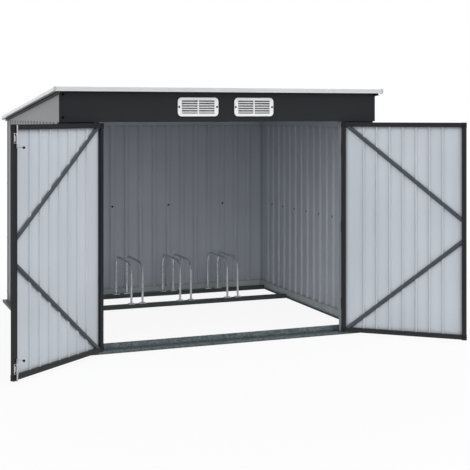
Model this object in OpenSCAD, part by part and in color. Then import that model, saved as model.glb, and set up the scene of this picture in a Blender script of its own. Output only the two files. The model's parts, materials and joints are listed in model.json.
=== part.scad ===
// Bike shelter: a ribbed sheet metal shed on a folded base frame, with a mono pitch roof,
// two hinged doors braced inside, slide bolts on the left door and a wheel rack on the floor.
// X runs along the front, Y runs from the front to the back and Z is up. The origin is on the
// ground, in the middle of the foot of the front base rail. The doors are drawn open.

/* [Shelter] */
// Width over the outer faces of the side walls
wall_w = 2116; // [1700:2:2600]
// Depth over the outer faces of the front and back walls
wall_d = 1938; // [1500:2:2400]
// Height of the lower edge of the fascia and the gables
eaves_h = 1402; // [1200:1:1700]
// Height of the fascia
fascia_h = 186; // [150:1:300]
// Height of the gables at the back, over their lower edge
gable_back_h = 13.6; // [8:0.1:40]

/* [Sheet metal] */
// Thickness of folded rails, posts and plates
fold_t = 2; // [1.5:0.5:3]
// Thickness of the ribbed sheets
sheet_t = 1; // [0.8:0.1:1.5]
// Depth of a ribbed wall sheet over its ribs
wall_depth = 12; // [8:1:16]
// Width of the flat top of a rib
rib_w = 24; // [16:1:30]
// Width of a rib's sloping side
rib_flank = 9; // [5:1:12]
// Distance from rib to rib in the side walls
side_pitch = 110; // [90:1:120]
// Distance from rib to rib in the back wall
back_pitch = 117; // [90:1:125]
// Distance from rib to rib in the roof
roof_rib_pitch = 150; // [120:1:180]

/* [Base frame] */
// Height of the outer lip of the base rail
lip_h = 18; // [14:1:24]
// How far the lip stands out from the wall
lip_out = 32; // [32:1:50]
// Height of the upright inside the wall
riser_h = 56; // [40:1:80]
// Width of the foot that lies on the ground
foot_w = 24; // [16:1:40]

/* [Frame members] */
// Leg of the corner trims
corner_leg = 34; // [24:1:50]
// Width of the narrow front sheet between a corner and a door post
panel_w = 205; // [150:1:400]
// Width of a door post across the front
jamb_w = 26; // [20:1:40]
// Wall of the tubes
tube_t = 2; // [1.5:0.5:3]
// Height of the flange of the wall top rails
top_rail_h = 56; // [40:1:80]
// Height of the lintel behind the fascia
lintel_h = 40; // [30:1:60]
// Height of the strips that cover the tops of the narrow front sheets
head_h = 36; // [20:1:60]
// Height of the roof purlins
purlin_h = 40; // [30:1:50]
// Width of the roof purlins
purlin_w = 30; // [20:1:40]

/* [Roof] */
// Roof overhang at the front
front_hang = 44; // [30:1:80]
// Roof overhang at the back
back_hang = 60; // [40:1:120]
// Roof overhang at the sides
side_hang = 30; // [20:1:60]
// Height of the roof ribs
roof_rib_h = 18; // [12:1:20]
// Height of the front edge trim
edge_h = 27; // [24:1:40]
// Height of the trims at the roof's sides
verge_h = 22; // [20:1:30]
// Height of the hem along the foot of an edge trim
hem_h = 10; // [6:1:14]
// How far the hem stands out
hem_out = 4; // [3:1:8]
// Height of the dark rail along the top of a gable
gable_rail_h = 17; // [12:1:24]
// How far the gable rail stands out
gable_rail_out = 12; // [8:1:16]

/* [Vents] */
// Width of a vent grille
vent_w = 267; // [200:1:300]
// Height of a vent grille
vent_h = 117; // [90:1:140]
// Thickness of a vent grille
vent_t = 8; // [5:1:12]
// Distance between the centres of the two grilles
vent_gap = 375; // [320:1:600]
// Corner radius of a grille
vent_r = 24; // [10:1:34]
// Blades in each column of a grille
vent_blades = 5; // [3:1:7]
// Thickness of a blade
blade_t = 4.6; // [2:0.2:6]
// How far the front of a blade hangs below its back
blade_drop = 3.5; // [2:0.5:8]
// Border over and under the blades
vent_rim = 17; // [12:1:24]
// Border beside the blades, wide enough for a screw
vent_side = 26; // [20:1:36]
// Width of the bar between the two columns of blades
vent_bar = 9; // [6:1:20]
// How far the fascia's cut-out reaches behind the border
vent_lap = 4; // [2:1:8]
// Corner radius of the fascia's cut-out
vent_hole_r = 6; // [3:1:12]

/* [Doors] */
// Thickness of a door leaf
leaf_t = 22; // [20:1:28]
// Width of the stiles and rails of a leaf
leaf_bar = 28; // [22:1:40]
// Clearance around a door leaf
door_gap = 6; // [5:1:10]
// Clearance under a door leaf
sill_gap = 8; // [6:1:14]
// How far the doors stand open, in degrees
door_open = 140; // [90:1:165]
// Distance from rib to rib in a door sheet
door_pitch = 85; // [75:1:100]
// Depth of a door sheet over its ribs
door_depth = 10; // [6:1:12]
// Width of a door rib's crest
door_rib_w = 7; // [5:0.5:12]
// Width of a door rib's sloping side
door_rib_flank = 5; // [3:0.5:9]
// Width of a brace
brace_w = 25; // [18:1:35]
// Thickness of a brace
brace_t = 9; // [6:1:10]
// Width of the flat along the middle of a brace, between its sloping sides
brace_flat = 12; // [8:1:16]
// Distance between the ends of the two braces on the free stile
brace_gap = 108; // [60:1:200]

/* [Hinges] */
// Hinges on each door
hinge_count = 3; // [2:1:4]
// Height of a hinge
hinge_h = 72; // [60:1:100]
// Outer radius of a hinge knuckle
knuckle_r = 6; // [5:0.5:6.5]
// Radius of a hinge pin
pin_r = 3; // [2:0.5:3.5]
// Clearance around a hinge pin
pin_fit = 0.3; // [0.2:0.1:0.6]
// Width of a hinge plate
hinge_w = 20; // [14:1:20]
// Distance of the outer hinges from the ends of the leaf
hinge_inset = 180; // [100:1:300]
// Gap between a knuckle and the leaf
knuckle_room = 1; // [1:0.5:2]

/* [Bolts and handle] */
// Radius of a bolt rod
bolt_r = 4; // [3:0.5:5]
// Clearance around a bolt rod in its guide
bolt_fit = 0.5; // [0.4:0.1:0.8]
// Travel of a bolt
bolt_travel = 15; // [10:1:18]
// Height of a bolt guide
guide_h = 56; // [50:1:70]
// Distance of the top guide from the top of the leaf
top_guide_inset = 46; // [30:1:80]
// Distance of the bottom guide from the foot of the leaf
bottom_guide_inset = 34; // [30:1:80]
// Distance of a bolt rod from the free edge of the leaf
bolt_inset = 19; // [16:1:24]
// Height of a guide's bored block
block_h = 12; // [8:1:20]
// How far a guide's plate reaches past its blocks at each side
guide_flange = 3; // [2:1:6]
// How far the bottom bolt stands out of the leaf
bolt_show = 5; // [2:1:6]
// Radius of a keeper hole
keeper_r = 6.5; // [6:0.5:8]
// Radius of a bolt knob
knob_r = 7; // [5:0.5:10]
// Distance of the knob from the rod
knob_reach = 46; // [30:1:60]
// Length of the pull handle
handle_l = 180; // [120:1:240]
// How far the pull handle stands out
handle_out = 30; // [24:1:36]
// Radius of the pull handle's bar
handle_r = 5; // [4:0.5:7]

/* [Wheel rack] */
// Distance from place to place
rack_pitch = 382; // [300:1:420]
// Distance of the front rack rail from the back wall
rack_front = 598; // [500:1:800]
// Distance of the rear rack rail from the back wall
rack_rear = 148; // [130:1:250]
// Height of a rack rail
rack_rail_h = 32; // [24:1:50]
// Depth of a rack rail
rack_rail_w = 30; // [24:1:50]
// Distance between the two hoops of a place
hoop_gap = 86; // [60:1:110]
// Radius of a hoop's rod
hoop_r = 8; // [5:0.5:10]
// Height of a hoop over its rail
hoop_h = 300; // [200:1:420]
// Bend radius of a hoop
hoop_bend = 90; // [40:1:140]
// Side of the foot plate of a hoop
hoop_foot = 50; // [30:1:56]
// Thickness of the foot plate of a hoop
hoop_foot_t = 4; // [3:1:6]

/* [Hidden] */
$fn = 48;
// Room by which cuts reach past the faces that they cut
past = 1;
// Depth of the base rail's shelf, from the lip to the upright
shelf_d = lip_out + wall_depth;
// Front faces from the lip inwards
y_lip = -(shelf_d + (fold_t + foot_w) / 2);
y_front = y_lip + lip_out;
y_riser = y_lip + shelf_d;
// Outer face of the back wall and of the base rail behind it
y_back = y_front + wall_d;
y_back_lip = y_back + lip_out;
base_w = wall_w + 2 * lip_out;
base_d = wall_d + 2 * lip_out;
// Half width over the walls, over the plates outside them and between the upright rails
wall_x = wall_w / 2;
plate_x = wall_x + fold_t;
inner_x = wall_x - wall_depth;
// The wall sheets run up behind the fascia and the gables
wall_lap = 10;
wall_top = eaves_h + wall_lap;
fascia_top = eaves_h + fascia_h;
// Slope of the roof, from the fascia's top to the top of the gables at the back
roof_drop = (fascia_h - gable_back_h) / (y_back - y_lip);
roof_pitch = atan(roof_drop);
// The door posts stand beside the front sheets, and the two leaves share what is between the posts
jamb_x = inner_x - panel_w - jamb_w;
hinge_x = jamb_x - door_gap / 2;
leaf_w = hinge_x - door_gap;
// Door leaf, measured from its hinge axis
leaf_x0 = door_gap / 2;
leaf_x1 = leaf_x0 + leaf_w;
leaf_front = knuckle_r + knuckle_room;
leaf_back = leaf_front + leaf_t;
leaf_z0 = lip_h + sill_gap;
leaf_z1 = eaves_h - door_gap;
// The front faces of the door posts are level with the outer faces of the closed doors
jamb_set_back = 4;
y_jamb = y_lip + jamb_set_back;
y_hinge = y_jamb - leaf_front;
// Bolt rod, measured from the hinge axis
bolt_x = leaf_x1 - bolt_inset;
guide_t = 2;
guide_web = 0.5;
bolt_y = leaf_back + guide_t + bolt_r + bolt_fit + guide_web;
keeper_x = -hinge_x + bolt_x;
keeper_y = y_hinge + bolt_y;
top_guide_z = leaf_z1 - top_guide_inset - guide_h;
bottom_guide_z = leaf_z0 + bottom_guide_inset;
// A bolt's arm stays clear of its guide over the whole travel
arm_room = 6;
bolt_arm = bolt_travel + arm_room;
// Wheel places in the rack, one pair of hoops each
rack_places = 4;
// Rack rails, by the front face of each
y_rack_front = y_back - rack_front;
y_rack_rear = y_back - rack_rear;

// Colours of the finishes
sheet_grey = [0.66, 0.68, 0.7];
anthracite = [0.19, 0.19, 0.2];
rail_grey = [0.36, 0.39, 0.4];
roof_white = [0.86, 0.86, 0.87];
zinc = [0.75, 0.76, 0.77];

// Helpers

// Outer line of a ribbed sheet of a given width, with its ribs set out from the middle
function rib_line(width, ribs, pitch, rise, crest, flank) = concat(
    [[-width / 2, 0]],
    [for (i = [0:ribs - 1]) let (c = (i - (ribs - 1) / 2) * pitch) each [
        [c - crest / 2 - flank, 0],
        [c - crest / 2, rise],
        [c + crest / 2, rise],
        [c + crest / 2 + flank, 0]
    ]],
    [[width / 2, 0]]
);

// Ribs that fit a width at a pitch, with a share of the pitch left to each end's flat
end_share = 0.5;
function rib_count(width, pitch) = floor(width / pitch - 2 * end_share);

// Cross section of a ribbed sheet: flats on the X axis, ribs towards +Y
module rib_profile(width, ribs, pitch, depth, crest = rib_w, flank = rib_flank) {
    line = rib_line(width, ribs, pitch, depth - sheet_t, crest, flank);
    last = len(line) - 1;
    polygon(concat(line, [for (i = [last:-1:0]) line[i] + [0, sheet_t]]));
}

// Wall sheet that stands on the shelf with its flats outwards, facing -Y
module wall_sheet(width, pitch, top) {
    translate([0, 0, lip_h])
        linear_extrude(height = top - lip_h)
            rib_profile(width, rib_count(width, pitch), pitch, wall_depth);
}

// Places a wall built along X, facing -Y, on the left side of the shelter
module on_left_side() {
    translate([-wall_x, (y_front + y_back) / 2, 0]) rotate([0, 0, -90]) children();
}

// Mirrors what is built for the left side to the right side
module on_right() {
    mirror([1, 0, 0]) children();
}

// Folded section of the base rail, lip outwards at -X, standing on the X axis
module base_section() {
    square([fold_t, lip_h]);
    translate([0, lip_h - fold_t]) square([shelf_d + fold_t, fold_t]);
    translate([shelf_d, 0]) square([fold_t, riser_h]);
    translate([shelf_d, 0]) square([fold_t + foot_w, fold_t]);
}

// Base rail of a given length along X with its lip facing -Y, mitred at both ends
module base_rail(length) {
    depth = shelf_d + fold_t + foot_w;
    intersection() {
        translate([-length / 2, 0, 0])
            rotate([90, 0, 90])
                linear_extrude(height = length) base_section();
        linear_extrude(height = riser_h)
            polygon([
                [-length / 2, 0],
                [length / 2, 0],
                [length / 2 - depth, depth],
                [-length / 2 + depth, depth]
            ]);
    }
}

// Places what is built on the roof plane: X along the front, Y up the plane from its front line
module on_roof() {
    translate([0, y_lip, fascia_top]) rotate([-roof_pitch, 0, 0]) children();
}

// Height of the roof plane over a place
function roof_z(y) = fascia_top - (y - y_lip) * roof_drop;

// Rectangle with round corners, about its centre
module round_rect(width, height, radius) {
    square([width - 2 * radius, height], center = true);
    square([width, height - 2 * radius], center = true);
    for (sx = [-1, 1], sy = [-1, 1])
        translate([sx * (width / 2 - radius), sy * (height / 2 - radius)]) circle(radius);
}

// Rectangular tube along X
module tube_x(length, depth, height) {
    translate([-length / 2, 0, 0])
        difference() {
            cube([length, depth, height]);
            translate([-past, tube_t, tube_t])
                cube([length + 2 * past, depth - 2 * tube_t, height - 2 * tube_t]);
        }
}

// Rectangular tube along Z
module tube_z(width, depth, height) {
    difference() {
        cube([width, depth, height]);
        translate([tube_t, tube_t, -past])
            cube([width - 2 * tube_t, depth - 2 * tube_t, height + 2 * past]);
    }
}

// Places the left leaf, built closed about its hinge axis, as far open as the doors stand
module on_left_leaf() {
    translate([-hinge_x, y_hinge, 0]) rotate([0, 0, -door_open]) children();
}

// Base frame

module base_rail_front() color(rail_grey)
    difference() {
        translate([0, y_lip, 0]) base_rail(base_w);
        translate([keeper_x, keeper_y, lip_h - fold_t - past])
            cylinder(r = keeper_r, h = fold_t + 2 * past);
    }

module base_rail_back() color(rail_grey)
    translate([0, y_back_lip, 0]) rotate([0, 0, 180]) base_rail(base_w);

module base_rail_left() color(rail_grey)
    translate([-base_w / 2, y_lip + base_d / 2, 0]) rotate([0, 0, -90]) base_rail(base_d);

module base_rail_right() color(rail_grey)
    translate([base_w / 2, y_lip + base_d / 2, 0]) rotate([0, 0, 90]) base_rail(base_d);

// Wheel rack

// Length of a rack rail, which runs from foot to foot of the side rails
rack_l = 2 * (inner_x - fold_t - foot_w);

module rack_rail_front() color(rail_grey)
    translate([0, y_rack_front, 0]) tube_x(rack_l, rack_rail_w, rack_rail_h);

module rack_rail_rear() color(rail_grey)
    translate([0, y_rack_rear, 0]) tube_x(rack_l, rack_rail_w, rack_rail_h);

// Quarter bend of a hoop's rod, from +X round to +Y
module hoop_corner() {
    rotate_extrude(angle = 90) translate([hoop_bend, 0]) circle(hoop_r);
}

// One hoop in the YZ plane, from the front rack rail to the rear one
module hoop() {
    span = rack_front - rack_rear;
    leg = hoop_h - hoop_bend;
    for (y = [0, span]) translate([0, y, 0]) {
        cylinder(r = hoop_r, h = leg);
        translate([-hoop_foot / 2, -rack_rail_w / 2, 0]) cube([hoop_foot, rack_rail_w, hoop_foot_t]);
    }
    translate([0, hoop_bend, leg]) rotate([90, 0, -90]) hoop_corner();
    translate([0, span - hoop_bend, leg]) rotate([90, 0, 90]) hoop_corner();
    translate([0, hoop_bend, hoop_h])
        rotate([-90, 0, 0]) cylinder(r = hoop_r, h = span - 2 * hoop_bend);
}

// The two hoops of one wheel place
module wheel_hoops(place) color(zinc)
    translate([(place - (rack_places - 1) / 2) * rack_pitch, y_rack_front + rack_rail_w / 2, rack_rail_h])
        for (side = [-1, 1]) translate([side * hoop_gap / 2, 0, 0]) hoop();

// Walls

module wall_left() color(sheet_grey)
    on_left_side() wall_sheet(wall_d, side_pitch, wall_top);

module wall_right() on_right() wall_left();

// The back wall's sheet reaches the sheets of the side walls
module wall_back() color(sheet_grey)
    translate([0, y_back, 0]) rotate([0, 0, 180]) wall_sheet(2 * (wall_x - sheet_t), back_pitch, wall_top);

// Narrow sheet between the side wall and the door post
module front_panel_left() color(sheet_grey)
    translate([-inner_x + panel_w / 2, y_front, 0]) wall_sheet(panel_w, side_pitch / 2, eaves_h);

module front_panel_right() on_right() front_panel_left();

// Angle that covers the left corner at a wall face, with its outer faces at -X and -Y
module corner_trim(height) {
    leg = corner_leg + fold_t;
    translate([-plate_x, -fold_t, lip_h]) {
        cube([leg, fold_t, height]);
        cube([fold_t, leg, height]);
    }
}

module front_corner_trims() color(anthracite)
    for (m = [0, 1]) mirror([m, 0, 0]) translate([0, y_front, 0]) corner_trim(eaves_h - lip_h);

module back_corner_trims() color(anthracite)
    for (m = [0, 1]) mirror([m, 0, 0])
        translate([0, y_back, 0]) mirror([0, 1, 0]) corner_trim(eaves_h - lip_h);

module door_post_left() color(sheet_grey)
    translate([-jamb_x - jamb_w, y_jamb, lip_h]) tube_z(jamb_w, y_riser - y_jamb, eaves_h - lip_h);

module door_post_right() on_right() door_post_left();

// Top rails

// Angle over the top of a wall sheet built along X and facing -Y: a flange inside and a lip on top
module top_rail(length) {
    translate([-length / 2, wall_depth, wall_top - top_rail_h]) cube([length, fold_t, top_rail_h + fold_t]);
    translate([-length / 2, 0, wall_top]) cube([length, wall_depth, fold_t]);
}

// The side rails run from the lintel to the sheet of the back wall
module top_rail_left() color(sheet_grey) {
    y0 = y_riser + fold_t;
    y1 = y_back - sheet_t;
    translate([0, (y0 + y1 - y_front - y_back) / 2, 0]) on_left_side() top_rail(y1 - y0);
}

module top_rail_right() on_right() top_rail_left();

module top_rail_back() color(sheet_grey)
    translate([0, y_back, 0]) rotate([0, 0, 180]) top_rail(2 * (inner_x - fold_t));

// Channel over the doors, between the side walls: a sill that the bolt shoots into, an upright behind
// and a strip down each narrow front sheet, from the corner trim to the door post
module door_lintel() color(anthracite) {
    length = 2 * (wall_x - sheet_t);
    strip_x0 = jamb_x + jamb_w;
    strip_x1 = plate_x - corner_leg - fold_t;
    difference() {
        union() {
            translate([-length / 2, y_lip + fold_t, eaves_h]) cube([length, y_riser - y_lip, fold_t]);
            translate([-length / 2, y_riser, eaves_h]) cube([length, fold_t, lintel_h]);
            for (m = [0, 1]) mirror([m, 0, 0])
                translate([strip_x0, y_front - fold_t, eaves_h - head_h])
                    cube([strip_x1 - strip_x0, fold_t, head_h + fold_t]);
        }
        translate([keeper_x, keeper_y, eaves_h - past]) cylinder(r = keeper_r, h = fold_t + 2 * past);
    }
}

// Fascia and vents

// Height of the middle of the vents
vent_z = eaves_h + fascia_h / 2;
// The fascia's cut-out, which the grille's border covers
vent_hole_w = vent_w - 2 * (vent_side - vent_lap);
vent_hole_h = vent_h - 2 * (vent_rim - vent_lap);

module fascia() color(anthracite)
    difference() {
        translate([-plate_x, y_lip, eaves_h])
            cube([2 * plate_x, fold_t, roof_z(y_lip + fold_t) - eaves_h]);
        for (side = [-1, 1])
            translate([side * vent_gap / 2, y_lip - past, vent_z])
                rotate([-90, 0, 0])
                    linear_extrude(height = fold_t + 2 * past)
                        round_rect(vent_hole_w, vent_hole_h, vent_hole_r);
    }

// Sloping blade of a grille from the back at y 0 to the front at -vent_t, about its middle height
module vent_blade(width) {
    translate([-width / 2, 0, 0])
        rotate([90, 0, 90])
            linear_extrude(height = width)
                polygon([
                    [0, blade_drop / 2 - blade_t / 2],
                    [0, blade_drop / 2 + blade_t / 2],
                    [-vent_t, blade_t / 2 - blade_drop / 2],
                    [-vent_t, -blade_t / 2 - blade_drop / 2]
                ]);
}

// Grille with two columns of sloping blades beside a bar in the middle
module vent_grille_left() color(roof_white) {
    column_w = (vent_w - vent_bar) / 2 - vent_side;
    column_h = vent_h - 2 * vent_rim;
    blade_pitch = (column_h + blade_t + blade_drop) / (vent_blades + 1);
    translate([-vent_gap / 2, y_lip, vent_z]) {
        rotate([90, 0, 0])
            linear_extrude(height = vent_t)
                difference() {
                    round_rect(vent_w, vent_h, vent_r);
                    for (side = [-1, 1])
                        translate([side * (column_w + vent_bar) / 2, 0])
                            square([column_w, column_h], center = true);
                }
        for (i = [0:vent_blades - 1])
            translate([0, 0, (i - (vent_blades - 1) / 2) * blade_pitch])
                vent_blade(2 * column_w + vent_bar);
    }
}

module vent_grille_right() on_right() vent_grille_left();

// Plate that closes the slope over a side wall
module gable_left() color(sheet_grey)
    translate([-plate_x, 0, 0])
        rotate([90, 0, 90])
            linear_extrude(height = fold_t)
                polygon([
                    [y_lip + fold_t, eaves_h],
                    [y_back + fold_t, eaves_h],
                    [y_back + fold_t, roof_z(y_back + fold_t)],
                    [y_lip + fold_t, roof_z(y_lip + fold_t)]
                ]);

module gable_right() on_right() gable_left();

// Small channel outside the gable, under the whole length of the roof
module gable_rail_left() color(anthracite)
    on_roof()
        translate([-plate_x, -front_hang, 0])
            mirror([1, 0, 0])
                rotate([-90, 0, 0])
                    linear_extrude(height = roof_l) {
                        square([gable_rail_out, fold_t]);
                        square([fold_t, gable_rail_h]);
                        translate([0, gable_rail_h - fold_t]) square([gable_rail_out, fold_t]);
                    }

module gable_rail_right() on_right() gable_rail_left();

// Roof

roof_w = 2 * (plate_x + side_hang);
roof_l = (y_back - y_lip) / cos(roof_pitch) + front_hang + back_hang;

// Channels under the roof sheet, from gable to gable, that share its length evenly
purlins = 2;

module roof_purlins() color(zinc)
    for (i = [1:purlins])
        on_roof()
            translate([-wall_x, i * roof_l / (purlins + 1) - front_hang, -purlin_h])
                rotate([90, 0, 90])
                    linear_extrude(height = wall_w) {
                        square([fold_t, purlin_h]);
                        square([purlin_w, fold_t]);
                        translate([0, purlin_h - fold_t]) square([purlin_w, fold_t]);
                    }

module roof_sheet() color(roof_white)
    on_roof()
        translate([0, -front_hang, 0])
            rotate([-90, 0, 0])
                linear_extrude(height = roof_l)
                    mirror([0, 1])
                        rib_profile(roof_w, rib_count(roof_w, roof_rib_pitch), roof_rib_pitch, roof_rib_h);

// Section of an edge trim: a face down over the sheet's edge, a cap over it and a hem along its foot
module edge_section(height, cap) {
    foot = height - roof_rib_h - 2 * fold_t;
    translate([-fold_t, -foot]) square([fold_t, height]);
    translate([-fold_t, height - foot - fold_t]) square([cap, fold_t]);
    translate([-fold_t - hem_out, -foot]) square([hem_out, hem_h - hem_out]);
    translate([-fold_t, hem_h - hem_out - foot]) intersection() {
        circle(hem_out);
        translate([-hem_out, 0]) square(hem_out);
    }
}

edge_cap = 22;

module roof_edge_front() color(roof_white)
    on_roof()
        translate([-roof_w / 2 - fold_t, -front_hang, 0])
            rotate([90, 0, 90])
                linear_extrude(height = roof_w + 2 * fold_t) edge_section(edge_h, edge_cap);

module roof_edge_back() color(roof_white)
    on_roof()
        translate([roof_w / 2 + fold_t, roof_l - front_hang, 0])
            rotate([90, 0, -90])
                linear_extrude(height = roof_w + 2 * fold_t) edge_section(edge_h, edge_cap);

// The side trims run between the caps of the front and back trims
module roof_verge_left() color(roof_white)
    on_roof()
        translate([-roof_w / 2, roof_l - front_hang - edge_cap + fold_t, 0])
            rotate([90, 0, 0])
                linear_extrude(height = roof_l - 2 * (edge_cap - fold_t)) edge_section(verge_h, edge_cap);

module roof_verge_right() on_right() roof_verge_left();

// Hinges

function hinge_z(i) = leaf_z0 + hinge_inset
    + i * (leaf_z1 - leaf_z0 - 2 * hinge_inset) / (hinge_count - 1) - hinge_h / 2;

// A hinge has three knuckles: the outer two are fixed and the middle one turns with the door
knuckle_gap = 0.5;
knuckle_h = (hinge_h - 2 * knuckle_gap) / 3;
knuckle_step = knuckle_h + knuckle_gap;
// The pin is fast in the fixed knuckles, which it fills over their bores
pin_bite = 1;

// Knuckle with the tongue that joins it to its plate on the +X side
module knuckle() {
    difference() {
        union() {
            cylinder(r = knuckle_r, h = knuckle_h);
            translate([0, leaf_front - fold_t, 0])
                cube([knuckle_r + knuckle_room + fold_t, fold_t, knuckle_h]);
        }
        translate([0, 0, -past]) cylinder(r = pin_r + pin_fit, h = knuckle_h + 2 * past);
    }
}

// Hinge plate on the +X side
module hinge_plate() {
    translate([knuckle_r + knuckle_room, leaf_front - fold_t, 0]) cube([hinge_w, fold_t, hinge_h]);
}

// Fixed halves of the hinges of the left door, with their pins
module hinge_plates_left() color(anthracite)
    translate([-hinge_x, y_hinge, 0])
        for (i = [0:hinge_count - 1])
            translate([0, 0, hinge_z(i)]) {
                mirror([1, 0, 0]) {
                    hinge_plate();
                    for (k = [0, 2]) translate([0, 0, k * knuckle_step]) knuckle();
                }
                cylinder(r = pin_r, h = hinge_h);
                for (k = [0, 2])
                    translate([0, 0, k * knuckle_step])
                        cylinder(r = pin_r + pin_fit + pin_bite, h = knuckle_h);
            }

module hinge_plates_right() on_right() hinge_plates_left();

// Turning halves of the hinges
module left_door_hinges() color(anthracite)
    on_left_leaf()
        for (i = [0:hinge_count - 1])
            translate([0, 0, hinge_z(i)]) {
                hinge_plate();
                translate([0, 0, knuckle_step]) knuckle();
            }

module right_door_hinges() on_right() left_door_hinges();

// Door leaves

module left_door_stiles() color(anthracite)
    on_left_leaf()
        for (x = [leaf_x0, leaf_x1 - leaf_bar])
            translate([x, leaf_front, leaf_z0]) tube_z(leaf_bar, leaf_t, leaf_z1 - leaf_z0);

module right_door_stiles() on_right() left_door_stiles();

module left_door_rails() color(anthracite)
    on_left_leaf()
        for (z = [leaf_z0, leaf_z1 - leaf_bar])
            translate([(leaf_x0 + leaf_x1) / 2, leaf_front, z]) tube_x(leaf_w - 2 * leaf_bar, leaf_t, leaf_bar);

module right_door_rails() on_right() left_door_rails();

// Ribbed sheet within the frame, flats outwards
module left_door_sheet() color(sheet_grey) {
    width = leaf_w - 2 * leaf_bar;
    on_left_leaf()
        translate([(leaf_x0 + leaf_x1) / 2, leaf_front + fold_t, leaf_z0 + leaf_bar])
            linear_extrude(height = leaf_z1 - leaf_z0 - 2 * leaf_bar)
                rib_profile(
                    width, rib_count(width, door_pitch), door_pitch,
                    door_depth, door_rib_w, door_rib_flank
                );
}

module right_door_sheet() on_right() left_door_sheet();

// Bar with sloping sides from the frame's corner at the hinges to the free stile, cut to fit inside the frame
module brace(lower) {
    x0 = leaf_x0 + leaf_bar;
    x1 = leaf_x1 - leaf_bar;
    mid = (leaf_z0 + leaf_z1) / 2;
    rise = (leaf_z1 - leaf_z0) / 2 - leaf_bar - brace_gap / 2;
    run = x1 - x0;
    angle = atan2(rise, run);
    slope_w = (brace_w - brace_flat) / 2;
    y = leaf_front + fold_t + door_depth;
    translate([0, 0, mid]) mirror([0, 0, lower])
        intersection() {
            translate([x0, y, brace_gap / 2]) cube([run, brace_t, rise]);
            translate([x1, y, brace_gap / 2])
                rotate([0, 180 + angle, 0])
                    rotate([90, 0, 90])
                        linear_extrude(height = 2 * (run + rise), center = true)
                            polygon([
                                [0, 0],
                                [0, -brace_w],
                                [brace_t, slope_w - brace_w],
                                [brace_t, -slope_w]
                            ]);
        }
}

module left_door_braces() color(rail_grey)
    on_left_leaf() for (lower = [0, 1]) brace(lower);

module right_door_braces() on_right() left_door_braces();

// Slide bolts on the left door

// Plate with two bored guides for the rod
module bolt_guide() {
    guide_d = 2 * (bolt_r + bolt_fit + fold_t);
    plate_w = guide_d + 2 * guide_flange;
    translate([bolt_x - plate_w / 2, leaf_back, 0]) cube([plate_w, guide_t, guide_h]);
    for (z = [0, guide_h - block_h])
        difference() {
            union() {
                translate([bolt_x, bolt_y, z]) cylinder(d = guide_d, h = block_h);
                translate([bolt_x - guide_d / 2, leaf_back + guide_t, z])
                    cube([guide_d, bolt_y - leaf_back - guide_t, block_h]);
            }
            translate([bolt_x, bolt_y, z - past]) cylinder(r = bolt_r + bolt_fit, h = block_h + 2 * past);
        }
}

module bolt_guides() color(zinc)
    on_left_leaf()
        for (z = [top_guide_z, bottom_guide_z]) translate([0, 0, z]) bolt_guide();

// The arm of a bolt is a little thinner than its rod
arm_thin = 0.5;

// Rod with its arm and knob, drawn back, its tip at z 0 and its knob at the other end
module bolt(length) {
    arm_r = bolt_r - arm_thin;
    cylinder(r = bolt_r, h = length);
    translate([0, 0, length - bolt_r]) rotate([-90, 0, 0]) {
        cylinder(r = arm_r, h = knob_reach);
        translate([0, 0, knob_reach]) sphere(knob_r);
    }
}

// The tip of the top bolt, drawn back, stays this far below the top of the leaf
tip_inset = 2;

module bolt_top() color(zinc) {
    tip = leaf_z1 - tip_inset;
    on_left_leaf()
        translate([bolt_x, bolt_y, tip])
            mirror([0, 0, 1]) bolt(tip - top_guide_z + bolt_arm + bolt_r);
}

module bolt_bottom() color(zinc) {
    tip = leaf_z0 - bolt_show;
    on_left_leaf()
        translate([bolt_x, bolt_y, tip]) bolt(bottom_guide_z + guide_h - tip + bolt_arm + bolt_r);
}

// Pull handle outside the right door, on its free stile
module door_handle() color(anthracite)
    on_right() on_left_leaf() {
        x = leaf_x1 - leaf_bar / 2;
        z = (leaf_z0 + leaf_z1) / 2;
        reach = leaf_front - handle_out;
        translate([x, reach, z - handle_l / 2]) cylinder(r = handle_r, h = handle_l);
        for (end = [-1, 1])
            translate([x, reach, z + end * (handle_l / 2 - handle_r)])
                rotate([-90, 0, 0]) cylinder(r = handle_r, h = handle_out);
    }

base_rail_front();
base_rail_back();
base_rail_left();
base_rail_right();
rack_rail_front();
rack_rail_rear();
wheel_hoops(0);  // wheel_hoops_1
wheel_hoops(1);  // wheel_hoops_2
wheel_hoops(2);  // wheel_hoops_3
wheel_hoops(3);  // wheel_hoops_4
wall_left();
wall_right();
wall_back();
front_panel_left();
front_panel_right();
front_corner_trims();
back_corner_trims();
door_post_left();
door_post_right();
top_rail_left();
top_rail_right();
top_rail_back();
door_lintel();
fascia();
vent_grille_left();
vent_grille_right();
gable_left();
gable_right();
gable_rail_left();
gable_rail_right();
roof_purlins();
roof_sheet();
roof_edge_front();
roof_edge_back();
roof_verge_left();
roof_verge_right();
hinge_plates_left();
hinge_plates_right();
left_door_stiles();
left_door_rails();
left_door_sheet();
left_door_braces();
left_door_hinges();
bolt_guides();
bolt_top();
bolt_bottom();
right_door_stiles();
right_door_rails();
right_door_sheet();
right_door_braces();
right_door_hinges();
door_handle();
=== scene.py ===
"""Looks of a ribbed steel bike shelter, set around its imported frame.

Lengths are in metres, in the frame's own axes: X along the front, Y to the back and Z up.
"""

import json
import logging
import math
from collections.abc import Iterable, Sequence
from dataclasses import dataclass, field, replace
from enum import Enum

import bmesh
import bpy
from mathutils import Matrix, Vector

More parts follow.
